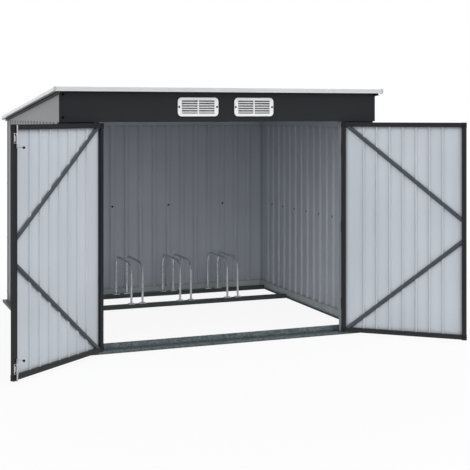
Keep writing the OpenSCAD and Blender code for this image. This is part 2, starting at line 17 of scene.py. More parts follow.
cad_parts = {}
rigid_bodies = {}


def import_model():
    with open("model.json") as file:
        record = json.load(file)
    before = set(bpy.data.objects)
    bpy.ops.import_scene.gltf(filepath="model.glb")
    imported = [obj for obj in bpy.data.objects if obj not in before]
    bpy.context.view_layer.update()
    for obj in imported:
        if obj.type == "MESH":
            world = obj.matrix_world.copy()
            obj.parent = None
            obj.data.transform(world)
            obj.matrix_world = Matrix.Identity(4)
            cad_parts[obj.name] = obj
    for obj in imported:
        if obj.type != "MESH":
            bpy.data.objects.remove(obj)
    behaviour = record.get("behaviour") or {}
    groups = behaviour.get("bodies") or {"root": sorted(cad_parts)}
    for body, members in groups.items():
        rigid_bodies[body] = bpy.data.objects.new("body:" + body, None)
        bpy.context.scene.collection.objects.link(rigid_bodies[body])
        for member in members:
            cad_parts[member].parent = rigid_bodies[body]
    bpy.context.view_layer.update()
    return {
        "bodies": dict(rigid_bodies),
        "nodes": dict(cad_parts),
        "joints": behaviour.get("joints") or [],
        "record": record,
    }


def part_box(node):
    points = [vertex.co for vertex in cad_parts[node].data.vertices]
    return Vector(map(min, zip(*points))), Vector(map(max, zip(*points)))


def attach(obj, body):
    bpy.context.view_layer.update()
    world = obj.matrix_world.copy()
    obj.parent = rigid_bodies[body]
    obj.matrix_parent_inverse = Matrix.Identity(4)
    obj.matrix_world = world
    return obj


LOG = logging.getLogger("bike_shelter")
MM = 0.001
UP = Vector((0, 0, 1))
TO_FRONT = Vector((0, -1, 0))
TO_BACK = Vector((0, 1, 0))
TO_LEFT = Vector((-1, 0, 0))

Colour = tuple[int, int, int]
Light = tuple[float, float, float, float]
Socket = bpy.types.NodeSocket
Tree = bpy.types.NodeTree
Outline = Sequence[tuple[float, float]]
Seat = tuple[Vector, Vector]


def light_of(colour: Colour, gain: float = 1.0) -> Light:
    """Turns a screen colour into linear light.

    Args:
        colour: red, green and blue from 0 to 255.
        gain: factor on the light.

    Returns:
        Linear red, green, blue and an alpha of one.
    """
    full, foot, slope, offset, power = 255, 0.04045, 12.92, 0.055, 2.4
    shares = [part / full for part in colour]
    linear = [s / slope if s <= foot else ((s + offset) / (1 + offset)) ** power for s in shares]
    red, green, blue = (min(1.0, part * gain) for part in linear)
    return red, green, blue, 1.0


class Graph:
    """A node tree with short ways to add and wire its nodes."""

    def __init__(self, tree: Tree) -> None:
        """Keeps the tree and empties it."""
        self.tree = tree
        tree.nodes.clear()

    def add(self, kind: str, inputs: dict | None = None, **settings: object) -> bpy.types.Node:
        """Adds a node.

        Args:
            kind: Blender's name for the node type.
            inputs: values or sockets by input name or number.
            settings: the node's own properties.

        Returns:
            The new node.
        """
        node = self.tree.nodes.new(kind)
        for key, value in settings.items():
            setattr(node, key, value)
        for key, value in (inputs or {}).items():
            if isinstance(value, Socket):
                self.tree.links.new(value, node.inputs[key])
            else:
                node.inputs[key].default_value = value
        return node

    def maths(self, operation: str, first: object, second: object = 0.0) -> Socket:
        """Adds a sum, product or other operation on two numbers and returns its result."""
        return self.add("ShaderNodeMath", {0: first, 1: second}, operation=operation).outputs[0]

    def mix(self, factor: object, first: object, second: object) -> Socket:
        """Adds a mix of two colours and returns the mixed one."""
        node = self.add("ShaderNodeMix", {0: factor, 6: first, 7: second}, data_type="RGBA")
        return node.outputs[2]

    def span(self, value: object, start: object, end: object, low: object, high: object) -> Socket:
        """Maps a value from start and end to low and high, and returns it clamped."""
        inputs = {"Value": value, "From Min": start, "From Max": end, "To Min": low, "To Max": high}
        return self.add("ShaderNodeMapRange", inputs).outputs[0]

    def noise(self, place: Socket, scale: object, detail: float = 2.0) -> Socket:
        """Adds a noise over a place and returns its value from 0 to 1."""
        inputs = {"Vector": place, "Scale": scale, "Detail": detail}
        return self.add("ShaderNodeTexNoise", inputs).outputs["Fac"]

    def place(self) -> Socket:
        """Returns the place on the piece itself, which moves with it."""
        return self.add("ShaderNodeTexCoord").outputs["Object"]

    def group(self, tree: Tree, inputs: dict) -> dict[str, Socket]:
        """Places a shared group and returns its outputs by name."""
        return dict(self.add("ShaderNodeGroup", inputs, node_tree=tree).outputs.items())

    def cover(self, inputs: dict) -> None:
        """Ends a material with a principled shader."""
        shader = self.add("ShaderNodeBsdfPrincipled", inputs)
        self.add("ShaderNodeOutputMaterial", {"Surface": shader.outputs[0]})


class Effects:
    """Shader node groups that several finishes share, each built once."""

    def __init__(self) -> None:
        """Builds every group."""
        self.grain = self._grain()
        self.edges = self._edges()
        self.dust = self._dust()
        self.spangle = self._spangle()
        self.painted_shade = self._painted_shade()
        self.outside = self._outside()

    @staticmethod
    def _open(name: str, inputs: dict[str, object]) -> tuple[Graph, dict[str, Socket]]:
        """Starts a group.

        Args:
            name: the group's name.
            inputs: default value of each input, a number, a direction or a colour.

        Returns:
            The group's graph and its input sockets by name.
        """
        kinds = {float: "NodeSocketFloat", Vector: "NodeSocketVector", tuple: "NodeSocketColor"}
        graph = Graph(bpy.data.node_groups.new(name, "ShaderNodeTree"))
        for label, value in inputs.items():
            kind = kinds[type(value)]
            socket = graph.tree.interface.new_socket(name=label, in_out="INPUT", socket_type=kind)
            socket.default_value = value
        given = graph.add("NodeGroupInput").outputs
        return graph, {label: given[label] for label in inputs}

    @staticmethod
    def _close(graph: Graph, results: dict[str, Socket]) -> Tree:
        """Ends a group with its results by name, of which only one called Color is a colour.

        Args:
            graph: the group's graph.
            results: what each output gives.

        Returns:
            The finished group.
        """
        for label in results:
            kind = "NodeSocketColor" if label == "Color" else "NodeSocketFloat"
            graph.tree.interface.new_socket(name=label, in_out="OUTPUT", socket_type=kind)
        graph.add("NodeGroupOutput", results)
        return graph.tree

    def _grain(self) -> Tree:
        """Builds the fine texture of a sprayed or moulded surface and its slow drift of tone.

        Returns:
            The group, which gives Height and Drift.
        """
        drift_scale, fine_detail = 1.7, 3.0
        streak_scale, streak_share, streak_squash = 9.0, 0.35, 0.12
        graph, given = self._open("surface_grain", {"Scale": 900.0})
        place = graph.place()
        height = graph.noise(place, given["Scale"], fine_detail)
        stretched = graph.add("ShaderNodeMapping", {"Vector": place, "Scale": (1.0, 1.0, streak_squash)})
        streaks = graph.noise(stretched.outputs[0], streak_scale)
        slow = graph.maths("MULTIPLY", graph.noise(place, drift_scale), 1 - streak_share)
        fast = graph.maths("MULTIPLY", streaks, streak_share)
        return self._close(graph, {"Height": height, "Drift": graph.maths("ADD", slow, fast)})

    def _edges(self) -> Tree:
        """Builds a mask of the folds and edges, broken up as rubbed paint is; the finishes lighten them for
        rubbed paint and a painted highlight.

        Returns:
            The group, which gives Mask.
        """
        samples, break_scale, break_detail = 4, 60.0, 3.0
        break_span, least = (0.35, 0.65), 0.2
        graph, given = self._open("edge_rub_and_highlight", {"Radius": 0.002, "Gain": 3.0})
        rounded = graph.add("ShaderNodeBevel", {"Radius": given["Radius"]}, samples=samples)
        flat = graph.add("ShaderNodeNewGeometry").outputs["Normal"]
        dot = graph.add("ShaderNodeVectorMath", {0: rounded.outputs[0], 1: flat}, operation="DOT_PRODUCT")
        turn = graph.maths("SUBTRACT", 1.0, dot.outputs["Value"])
        strong = graph.maths("MULTIPLY", turn, given["Gain"])
        patches = graph.noise(graph.place(), break_scale, break_detail)
        broken = graph.span(patches, *break_span, least, 1.0)
        mask = graph.add("ShaderNodeClamp", {"Value": graph.maths("MULTIPLY", strong, broken)})
        return self._close(graph, {"Mask": mask.outputs[0]})

    def _dust(self) -> Tree:
        """Builds dust that settles on faces that look up and is splashed on what is near the ground.

        Returns:
            The group, which gives Color and Mask.
        """
        cloud_scale, cloud_detail, cloud_span, cloud_least = 5.0, 4.0, (0.35, 0.75), 0.2
        speck_scale, speck_span, speck_least = 70.0, (0.4, 0.7), 0.3
        level_from, fade = 0.5, 2.0
        graph, given = self._open("ground_dust", {
            "Color": (0.5, 0.5, 0.5, 1.0),
            "Dust": light_of((142, 141, 138)),
            "Settled": 0.2,
            "Splashed": 0.2,
            "Splash Height": 0.25,
        })
        geometry = graph.add("ShaderNodeNewGeometry").outputs
        normal = graph.add("ShaderNodeSeparateXYZ", {0: geometry["Normal"]}).outputs["Z"]
        height = graph.add("ShaderNodeSeparateXYZ", {0: geometry["Position"]}).outputs["Z"]
        place = graph.place()
        cloud = graph.span(graph.noise(place, cloud_scale, cloud_detail), *cloud_span, cloud_least, 1.0)
        specks = graph.span(graph.noise(place, speck_scale), *speck_span, speck_least, 1.0)
        level = graph.span(normal, level_from, 1.0, 0.0, given["Settled"])
        settled = graph.maths("MULTIPLY", level, cloud)
        near = graph.span(height, 0.0, given["Splash Height"], 1.0, 0.0)
        low = graph.maths("MULTIPLY", graph.maths("POWER", near, fade), given["Splashed"])
        splashed = graph.maths("MULTIPLY", low, specks)
        mask = graph.add("ShaderNodeClamp", {"Value": graph.maths("ADD", settled, splashed)}).outputs[0]
        return self._close(graph, {"Color": graph.mix(mask, given["Color"], given["Dust"]), "Mask": mask})

    def _spangle(self) -> Tree:
        """Builds the patches of crystal that hot zinc leaves on steel.

        Returns:
            The group, which gives Tone and Height.
        """
        cloud_scale, cloud_detail, share = 30.0, 3.0, 0.5
        graph, given = self._open("zinc_spangle", {"Scale": 220.0})
        place = graph.place()
        cells = graph.add("ShaderNodeTexVoronoi", {"Vector": place, "Scale": given["Scale"]}).outputs
        tone = graph.add("ShaderNodeSeparateColor", {0: cells["Color"]}).outputs[0]
        cloud = graph.noise(place, cloud_scale, cloud_detail)
        mixed = graph.maths("MULTIPLY", graph.maths("ADD", tone, cloud), share)
        return self._close(graph, {"Tone": mixed, "Height": cells["Distance"]})

    def _painted_shade(self) -> Tree:
        """Builds a mask of narrow folds and joints, where little light comes, for painted shade.

        Returns:
            The group, which gives Mask.
        """
        samples, open_share, shut_share = 8, 0.92, 0.45
        graph, given = self._open("fold_painted_shade", {"Reach": 0.02})
        hidden = graph.add("ShaderNodeAmbientOcclusion", {"Distance": given["Reach"]}, samples=samples)
        mask = graph.span(hidden.outputs["AO"], open_share, shut_share, 0.0, 1.0)
        return self._close(graph, {"Mask": mask})

    def _outside(self) -> Tree:
        """Builds a mask of the side of a sheet that faces out of the shelter.

        Returns:
            The group, which gives Mask.
        """
        graph, given = self._open("outer_side", {"Outward": UP})
        inputs = {0: graph.add("ShaderNodeTexCoord").outputs["Normal"], 1: given["Outward"]}
        along = graph.add("ShaderNodeVectorMath", inputs, operation="DOT_PRODUCT").outputs["Value"]
        return self._close(graph, {"Mask": graph.maths("GREATER_THAN", along, 0.0)})


@dataclass(frozen=True)
class Finish:
    """A coat on the shelter's metal or plastic, with its grain, rubbed edges that also carry a painted
    highlight, painted shade in its folds, and dust.
    """

    name: str
    colour: Colour
    rub_and_highlight_colour: Colour
    slot: str = ""
    rough: float = 0.42
    rough_drift: float = 0.05
    # Edges and folds take a lighter colour: rubbed paint together with a painted highlight.
    rub_and_highlight: float = 0.35
    rub_and_highlight_radius: float = 1.6 * MM
    grain_scale: float = 900.0
    grain_depth: float = 0.12
    grain_height: float = 0.3 * MM
    drift: float = 0.07
    drift_span: tuple[float, float] = (0.3, 0.7)
    settled: float = 0.25
    splashed: float = 0.35
    dust_dull: float = 0.35
    gloss: float = 0.3
    coat: float = 0.0
    # Painted shade in folds and recesses: how much, how far it reaches, and how dark the shaded copy of the
    # paint is.
    shade_share: float = 0.35
    shade_reach: float = 20 * MM
    shade_gain: float = 0.35
    outer: Colour | None = None
    # The outer side's painted shade, stronger and reaching further than inside.
    outer_shade_share: float = 0.35
    outer_shade_reach: float = 20 * MM
    outer_shade_gain: float = 0.175
    outward: Vector | None = None

    def facing(self, name: str, outward: Vector) -> "Finish":
        """Returns the finish for one sheet, which knows its outer side."""
        return replace(self, name=name, outward=outward.normalized())

    def _paint(self, graph: Graph, drift: Socket, colour: Colour) -> Socket:
        """Returns a colour that drifts a little over the surface."""
        dark, pale = light_of(colour, 1 - self.drift), light_of(colour, 1 + self.drift)
        return graph.mix(graph.span(drift, *self.drift_span, 0.0, 1.0), dark, pale)

    def make(self, effects: Effects) -> bpy.types.Material:
        """Builds the material.

        Args:
            effects: the shared node groups.

        Returns:
            The material, ready for a piece.
        """
        material, graph = new_material(self.name)
        grain = graph.group(effects.grain, {"Scale": self.grain_scale})
        drift = grain["Drift"]
        base = self._paint(graph, drift, self.colour)
        # Painted shade: folds and recesses found by ambient occlusion take a darker copy of the paint,
        # darker still on the outer side.
        shade_share: object = self.shade_share
        reach: object = self.shade_reach
        shade_colour: object = light_of(self.colour, self.shade_gain)
        if self.outer and self.outward:
            side = graph.group(effects.outside, {"Outward": self.outward})["Mask"]
            base = graph.mix(side, base, self._paint(graph, drift, self.outer))
            shade_share = graph.span(side, 0.0, 1.0, self.shade_share, self.outer_shade_share)
            reach = graph.span(side, 0.0, 1.0, self.shade_reach, self.outer_shade_reach)
            shade_colour = graph.mix(side, shade_colour, light_of(self.outer, self.outer_shade_gain))
        edges = graph.group(effects.edges, {"Radius": self.rub_and_highlight_radius})["Mask"]
        # Edges and folds lightened: rubbed paint and a painted highlight.
        worn_and_lit = graph.mix(graph.maths("MULTIPLY", edges, self.rub_and_highlight), base, light_of(self.rub_and_highlight_colour))
        fold_shade = graph.group(effects.painted_shade, {"Reach": reach})["Mask"]
        shaded = graph.mix(graph.maths("MULTIPLY", fold_shade, shade_share), worn_and_lit, shade_colour)
        values = {"Color": shaded, "Settled": self.settled, "Splashed": self.splashed}
        dust = graph.group(effects.dust, values)
        smooth, coarse = self.rough - self.rough_drift, self.rough + self.rough_drift
        rough = graph.span(drift, *self.drift_span, smooth, coarse)
        dulled = graph.maths("ADD", rough, graph.maths("MULTIPLY", dust["Mask"], self.dust_dull))
        relief = {"Height": grain["Height"], "Strength": self.grain_depth, "Distance": self.grain_height}
        graph.cover({
            "Base Color": dust["Color"],
            "Roughness": dulled,
            "Normal": graph.add("ShaderNodeBump", relief).outputs[0],
            "Specular IOR Level": self.gloss,
            "Coat Weight": self.coat,
        })
        return material


@dataclass(frozen=True)
class Zinc:
    """Galvanised steel with its spangle and painted shade in its folds."""

    name: str
    dark: Colour
    pale: Colour
    slot: str = ""
    rough: float = 0.38
    rough_more: float = 0.1
    rough_less: float = 0.08
    rough_span: tuple[float, float] = (0.2, 0.8)
    tone_span: tuple[float, float] = (0.25, 0.75)
    spangle: float = 220.0
    relief: float = 0.08
    relief_height: float = 0.2 * MM
    metal: float = 0.85
    settled: float = 0.1
    splashed: float = 0.08
    # Painted shade in folds and recesses.
    shade_share: float = 0.4
    shade_reach: float = 20 * MM
    shade_gain: float = 0.3

    def make(self, effects: Effects) -> bpy.types.Material:
        """Builds the material.

        Args:
            effects: the shared node groups.

        Returns:
            The material, ready for a piece.
        """
        material, graph = new_material(self.name)
        crystal = graph.group(effects.spangle, {"Scale": self.spangle})
        tone = crystal["Tone"]
        share = graph.span(tone, *self.tone_span, 0.0, 1.0)
        base = graph.mix(share, light_of(self.dark), light_of(self.pale))
        # Painted shade: folds and recesses found by ambient occlusion take a darker copy of the zinc.
        fold_shade = graph.group(effects.painted_shade, {"Reach": self.shade_reach})["Mask"]
        shade = graph.maths("MULTIPLY", fold_shade, self.shade_share)
        shaded = graph.mix(shade, base, light_of(self.dark, self.shade_gain))
        values = {"Color": shaded, "Settled": self.settled, "Splashed": self.splashed}
        dust = graph.group(effects.dust, values)
        dull, bright = self.rough + self.rough_more, self.rough - self.rough_less
        relief = {"Height": crystal["Height"], "Strength": self.relief, "Distance": self.relief_height}
        graph.cover({
            "Base Color": dust["Color"],
            "Roughness": graph.span(tone, *self.rough_span, dull, bright),
            "Metallic": self.metal,
            "Normal": graph.add("ShaderNodeBump", relief).outputs[0],
        })
        return material


def new_material(name: str) -> tuple[bpy.types.Material, Graph]:
    """Starts a node material.

    Args:
        name: the material's name.

    Returns:
        The material and its empty graph.
    """
    material = bpy.data.materials.new(name)
    material.use_nodes = True
    return material, Graph(material.node_tree)


class Surface(Enum):
    """The finishes of the shelter. One that names no slot stands for the slot of its own name."""

    # The wall sheet's outer grooves are painted nearly black as shade, and its folds carry a painted
    # highlight.
    SHEET = Finish(
        "sheet_paint", (203, 209, 217), (238, 242, 247), rough=0.5, rub_and_highlight=0.7, rub_and_highlight_radius=3 * MM, gloss=0.2,
        settled=0.12, splashed=0.1, shade_share=0.6, shade_reach=32 * MM, outer=(146, 146, 150), outer_shade_share=1.0,
        outer_shade_reach=120 * MM,
    )
    # The door posts take the sheet paint darkened, as painted shade.
    SHADED_POST = Finish(
        "post_paint", (160, 164, 169), (190, 194, 198), "sheet_paint", rough=0.5, gloss=0.2, settled=0.1,
        splashed=0.08,
    )
    DARK = Finish(
        "anthracite_paint", (34, 35, 39), (74, 76, 81), rough=0.46, drift=0.1, gloss=0.2, settled=0.1,
        splashed=0.06,
    )
    BRACE = Finish("brace_paint", (70, 77, 86), (108, 115, 123), rough=0.45, gloss=0.25)
    # The rail coats paint shade into their folds.
    RAIL = Zinc("rail_coat", (62, 73, 77), (102, 115, 119), rough=0.5, spangle=110.0, metal=0.1, shade_share=0.7)
    PALE_RAIL = Finish(
        "pale_rail_coat", (198, 206, 208), (214, 219, 220), "rail_coat", rough=0.5, drift=0.2, settled=0.1,
        splashed=0.05, gloss=0.2, shade_share=0.6, outer=(70, 79, 83),
    )
    RACK = Finish(
        "rack_paint", (62, 71, 75), (98, 105, 108), "rail_coat", rough=0.45, drift=0.14, splashed=0.1,
        gloss=0.25,
    )
    ROOF = Finish(
        "roof_paint", (209, 210, 213), (222, 223, 225), rough=0.4, settled=0.12, coat=0.25
    )
    VERGE = Finish(
        "verge_paint", (247, 247, 249), (250, 250, 250), "roof_paint", rough=0.4, settled=0.05, splashed=0.0,
        drift=0.02,
    )
    ZINC = Zinc("zinc", (172, 175, 178), (222, 224, 225), metal=0.55)
    # The gaps between the vents' louvre blades are painted dark as shade.
    VENT = Finish(
        "vent_plastic", (244, 246, 246), (246, 247, 247), rough=0.5, grain_depth=0.2, gloss=0.2, settled=0.1,
        shade_share=1.0, shade_reach=70 * MM, shade_gain=0.06,
    )
    CAP = Finish(
        "cap_plastic", (188, 190, 192), (206, 207, 208), "vent_plastic", rough=0.5, grain_depth=0.2
    )
    KNOB = Finish(
        "knob_plastic", (20, 20, 22), (40, 40, 42), "anthracite_paint", rough=0.4, grain_depth=0.05,
        gloss=0.2, splashed=0.04,
    )
    SCREW = Finish(
        "dark_screw", (7, 7, 8), (24, 25, 27), "anthracite_paint", rough=0.6, rub_and_highlight=0.1, gloss=0.03,
        settled=0.05, splashed=0.05,
    )

    @property
    def recipe(self) -> Finish | Zinc:
        """Returns what the finish is made from."""
        return self.value

    @property
    def slot(self) -> str:
        """Returns the record's slot for the finish."""
        return self.recipe.slot or self.recipe.name


class Palette:
    """The built materials, one for each surface."""

    def __init__(self, effects: Effects) -> None:
        """Builds every material."""
        self.effects = effects
        self.materials = {surface: surface.recipe.make(effects) for surface in Surface}

    def dress(self, piece: bpy.types.Object, surface: Surface, outward: Vector | None = None) -> None:
        """Gives a piece one finish.

        Args:
            piece: the piece.
            surface: its finish.
            outward: direction that its outer side faces, where that side has a colour of its own.
        """
        material = self.materials[surface]
        if outward:
            finish = surface.recipe.facing(f"{surface.recipe.name}_{piece.name}", outward)
            material = finish.make(self.effects)
        piece.data.materials.clear()
        piece.data.materials.append(material)


def put_in_scene(name: str, data: bpy.types.ID) -> bpy.types.Object:
    """Makes an object and links it to the scene.

    Args:
        name: the object's name.
        data: its mesh, lamp or camera.

    Returns:
        The new object.
    """
    made = bpy.data.objects.new(name, data)
    bpy.context.scene.collection.objects.link(made)
    return made


def standing(point: Vector, out: Vector) -> Matrix:
    """Returns a place at a point, with its Z axis along a direction."""
    return Matrix.Translation(point) @ out.to_track_quat("Z", "Y").to_matrix().to_4x4()


class Shape:
    """A mesh in the making, from turned forms and slabs."""

    def __init__(self) -> None:
        """Starts with an empty mesh."""
        self.mesh = bmesh.new()

    def turned(self, place: Matrix, outline: Outline, sides: int) -> None:
        """Adds a form turned about the Z axis of a place.

        Args:
            place: where the form stands.
            outline: points as radius and height, from the foot up.
            sides: faces around the axis.
        """
        turns = [2 * math.pi * i / sides for i in range(sides)]
        rings = [
            [self.mesh.verts.new(place @ Vector((r * math.cos(a), r * math.sin(a), z))) for a in turns]
            for r, z in outline
        ]
        for lower, upper in zip(rings, rings[1:]):
            for i in range(sides):
                quad = [lower[i], lower[(i + 1) % sides], upper[(i + 1) % sides], upper[i]]
                self.mesh.faces.new(quad)
        self.mesh.faces.new(list(reversed(rings[0])))
        self.mesh.faces.new(rings[-1])

    def slab(self, place: Matrix, size: Vector, edge: float) -> None:
        """Adds a block about the middle of a place, with its edges rounded.

        Args:
            place: the block's middle and directions.
            size: its three lengths.
            edge: radius of its edges.
        """
        steps, circle = 2, 0.5
        made = bmesh.ops.create_cube(self.mesh, size=1.0, matrix=place @ Matrix.Diagonal(size.to_4d()))
        edges = list({e for v in made["verts"] for e in v.link_edges})
        bmesh.ops.bevel(self.mesh, geom=edges, offset=edge, segments=steps, profile=circle, affect="EDGES")

    def done(self, name: str, body: str, palette: Palette, surface: Surface) -> None:
        """Turns the mesh into a piece.

        Args:
            name: the piece's name.
            body: the moving body that carries it.
            palette: the built materials.
            surface: its finish.
        """
        smooth_below = math.radians(40)
        bmesh.ops.recalc_face_normals(self.mesh, faces=self.mesh.faces)
        data = bpy.data.meshes.new(name)
        self.mesh.to_mesh(data)
        self.mesh.free()
        data.shade_smooth()
        data.set_sharp_from_angle(angle=smooth_below)
        piece = put_in_scene(name, data)
        palette.dress(piece, surface)
        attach(piece, body)
        surface.slot
        LOG.info("piece %s on %s: %d faces", name, body, len(data.polygons))


class Fixing(Enum):
    """Small fasteners, by outline: radius and height in millimetres, with the sides of each stage."""

    HEX = (((6.5, -0.4), (6.5, 0.6), (5.9, 1.0)), 18, ((4.3, 0.9), (4.3, 4.2), (3.6, 4.9)), 6)
    PAN = (
        ((6.4, -0.4), (6.4, 0.5), (6.0, 0.9)), 18,
        ((4.6, 0.8), (4.5, 1.9), (3.5, 2.8), (1.8, 3.2)), 14,
    )
    WASHER = (
        ((8.0, -0.4), (8.0, 0.6), (7.5, 1.0)), 20,
        ((5.4, 0.9), (5.2, 2.2), (4.1, 3.2), (2.0, 3.7)), 14,
    )
    RIVET = (((5.0, -0.4), (4.9, 0.6), (4.2, 1.5)), 16, ((4.1, 1.4), (2.9, 2.1), (1.3, 2.4)), 16)
    ROOFING = (((9.0, -0.4), (9.0, 0.9), (7.2, 1.8)), 20, ((4.6, 1.7), (4.6, 5.6), (3.9, 6.3)), 6)

    def put(self, shape: Shape, point: Vector, out: Vector) -> None:
        """Adds one fastener to a shape.

        Args:
            shape: the mesh that takes it.
            point: its foot, on the face that it holds.
            out: direction that its head points to.
        """
        foot, foot_sides, head, head_sides = self.value
        place = standing(point, out)
        for outline, sides in ((foot, foot_sides), (head, head_sides)):
            shape.turned(place, [(r * MM, h * MM) for r, h in outline], sides)


@dataclass
class Box:
    """A node's lowest and highest corners."""

    low: Vector
    high: Vector

    @classmethod
    def of(cls, node: str) -> "Box":
        """Reads a node's box from the frame."""
        low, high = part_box(node)
        return cls(low, high)

    @classmethod
    def within(cls, piece: bpy.types.Object, place: Matrix) -> "Box":
        """Measures a node in the directions of a place.

        Args:
            piece: the node's object.
            place: the place whose own axes are used.

        Returns:
            The node's box in those axes.
        """
        back = place.inverted()
        points = [back @ v.co for v in piece.data.vertices]
        low = Vector([min(p[i] for p in points) for i in range(3)])
        high = Vector([max(p[i] for p in points) for i in range(3)])
        return cls(low, high)

    @property
    def middle(self) -> Vector:
        """Returns the middle of the box."""
        return (self.low + self.high) / 2


def spaced(start: float, end: float, step: float) -> list[float]:
    """Returns places that share a run evenly, both ends included and at most a step apart."""
    count = max(1, math.ceil((end - start) / step))
    return [start + (end - start) * i / count for i in range(count + 1)]


@dataclass
class Assembly:
    """A sub-assembly of the shelter: the frame, the materials and the nodes that it dresses."""

    frame: dict
    palette: Palette

    def coat(self, surface: Surface, nodes: Iterable[str], outward: Vector | None = None) -> None:
        """Gives nodes of the frame one finish.

        Args:
            surface: the finish.
            nodes: the nodes that take it.
            outward: direction that their outer sides face, where these have a colour of their own.
        """
        for node in nodes:
            self.palette.dress(self.frame["nodes"][node], surface, outward)
            LOG.info("node %s: %s", node, surface.recipe.name)

    def fasten(self, name: str, body: str, fixing: Fixing, surface: Surface, seats: Iterable[Seat]) -> None:
        """Makes one piece from many like fasteners.

        Args:
            name: the piece's name.
            body: the body that carries it.
            fixing: the kind of fastener.
            surface: its finish.
            seats: foot and direction of each.
        """
        shape = Shape()
        for point, out in seats:
            fixing.put(shape, point, out)
        shape.done(name, body, self.palette, surface)


@dataclass
class BaseFrame(Assembly):
    """The folded rails on the ground and the screws along them."""

    screw_step: float = 0.45
    corner_set: float = 60 * MM
    shelf_set: float = 16 * MM
    lip_share: float = 0.3

    def build(self) -> None:
        """Dresses the rails and sets the screws at their corners and along their shelves."""
        self.coat(Surface.RAIL, ["base_rail_front"])
        lifted = UP * self.lip_share
        self.coat(Surface.PALE_RAIL, ["base_rail_back"], TO_BACK + lifted)
        self.coat(Surface.PALE_RAIL, ["base_rail_left"], TO_LEFT + lifted)
        self.coat(Surface.PALE_RAIL, ["base_rail_right"], lifted - TO_LEFT)
        front = Box.of("base_rail_front")
        back = Box.of("base_rail_back")
        shelf_z = Box.of("wall_left").low.z
        points = []
        for x in spaced(front.low.x + self.corner_set, front.high.x - self.corner_set, self.screw_step):
            points.append(Vector((x, back.high.y - self.shelf_set, shelf_z)))
        for y in spaced(front.low.y + self.corner_set, back.high.y - self.corner_set, self.screw_step):
            for x in (front.low.x + self.shelf_set, front.high.x - self.shelf_set):
                points.append(Vector((x, y, shelf_z)))
        self.fasten("base_screws", "shelter", Fixing.HEX, Surface.ZINC, [(p, UP) for p in points])


@dataclass
class WheelRack(Assembly):
    """The rack on the floor: two rails and four pairs of hoops with their feet."""

    places: int = 4
    foot_set: float = 17 * MM
    foot_t: float = 4 * MM
    foot_w: float = 50 * MM

    def build(self) -> None:
        """Dresses the rack and bolts the feet of the hoops down."""
        self.coat(Surface.RACK, ["rack_rail_front", "rack_rail_rear"])
        names = [f"wheel_hoops_{i + 1}" for i in range(self.places)]
        self.coat(Surface.ZINC, names)
        rails = [Box.of("rack_rail_front"), Box.of("rack_rail_rear")]
        bolts = []
        for name in names:
            hoops = Box.of(name)
            for rail in rails:
                z = rail.high.z + self.foot_t
                y = rail.middle.y
                for x in self._foot_bolts(hoops):
                    bolts.append((Vector((x, y, z)), UP))
        self.fasten("rack_bolts", "shelter", Fixing.HEX, Surface.ZINC, bolts)

    def _foot_bolts(self, hoops: Box) -> list[float]:
        """Returns where the bolts of two hoops' feet stand along the rail."""
        centres = (hoops.low.x + self.foot_w / 2, hoops.high.x - self.foot_w / 2)
        return [c + side * self.foot_set for c in centres for side in (-1, 1)]


